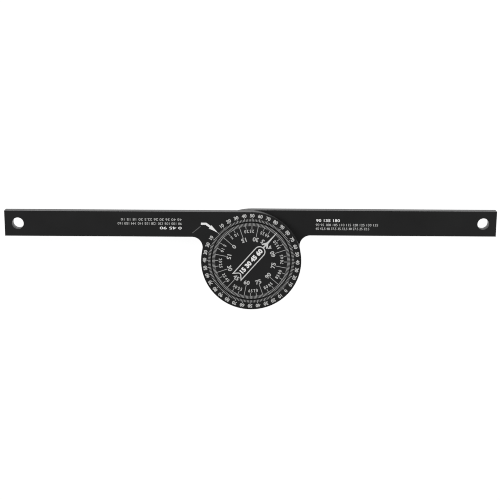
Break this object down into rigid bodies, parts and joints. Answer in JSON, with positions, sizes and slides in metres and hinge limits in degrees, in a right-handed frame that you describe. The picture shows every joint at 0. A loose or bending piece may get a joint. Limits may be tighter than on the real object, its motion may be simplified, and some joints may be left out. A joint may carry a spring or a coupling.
{
  "type": "woodworking protractor",
  "caption": "Miter saw protractor: two flat black aluminium blades that pivot at a round dial, with white angle scales on the dial and on the ring round it.",
  "frame": {"origin": "pivot axis of the two blades at the back face that the tool lies on", "axes": "+X along the fixed lower blade from the pivot, +Y towards the measuring edges of the open blades, +Z out of the back through the dial's face"},
  "size_m": [0.299, 0.0612, 0.0112],
  "materials": {
    "blade_black": "satin black anodised",
    "dial_black": "satin black anodised",
    "marking_white": "matt white marking",
    "marking_grey": "matt grey marking",
    "screw_steel": "zinc plated",
    "washer_plastic": "low-friction plastic"
  },
  "bodies": {
    "lower_arm": {"lower_blade": "blade_black", "dial": "dial_black", "friction_washer": "washer_plastic", "dial_screws": "screw_steel", "dial_graduations": "marking_white", "dial_pointer": "marking_white"},
    "upper_arm": {"upper_blade": "blade_black", "slip_washer": "washer_plastic", "ring_graduations": "marking_white", "blade_arrow": "marking_white", "leader_line": "marking_grey"}
  },
  "joints": [
    {"name": "blade_pivot", "type": "hinge", "parent": "lower_arm", "child": "upper_arm", "pos_m": [0, 0, 0], "axis": [0, 0, 1], "continuous": true}
  ]
}
